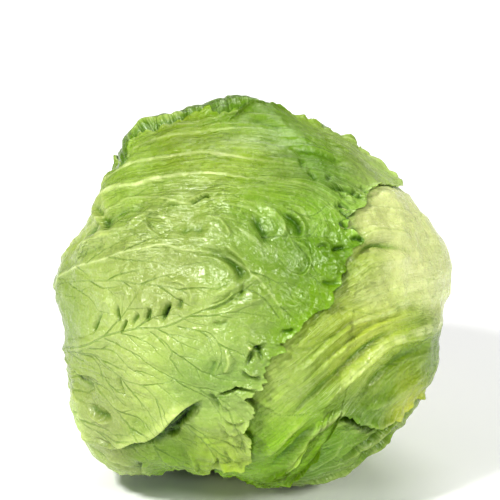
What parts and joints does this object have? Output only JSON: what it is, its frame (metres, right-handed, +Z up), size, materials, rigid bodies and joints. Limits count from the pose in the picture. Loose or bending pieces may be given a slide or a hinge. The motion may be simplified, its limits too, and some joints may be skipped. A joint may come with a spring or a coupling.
{
  "type": "head of lettuce",
  "caption": "Round crisphead lettuce lying on its side, with overlapping cupped wrapper leaves, folded inner leaves and a short cut stem at the back.",
  "frame": {"origin": "under the middle of the bounding box, on the surface the head rests on", "axes": "+Z up, +X to the right of the face where the leaf tips close, +Y away from that face, towards the stem"},
  "size_m": [0.1646, 0.1558, 0.1594],
  "materials": {
    "outer_leaf": "satin",
    "pale_outer_leaf": "satin",
    "dark_outer_leaf": "satin",
    "inner_leaf": "satin",
    "heart": "satin",
    "stem": "matte"
  },
  "bodies": {
    "root": {"wrapper_leaf_left": "outer_leaf", "wrapper_leaf_right": "pale_outer_leaf", "wrapper_leaf_lower": "dark_outer_leaf", "wrapper_leaf_top": "outer_leaf", "wrapper_leaf_underneath": "dark_outer_leaf", "wrapper_leaf_behind": "outer_leaf", "inner_leaf_1": "inner_leaf", "inner_leaf_2": "inner_leaf", "inner_leaf_3": "inner_leaf", "inner_leaf_4": "inner_leaf", "inner_leaf_5": "inner_leaf", "inner_leaf_6": "inner_leaf", "heart": "heart", "stem": "stem"}
  },
  "joints": []
}
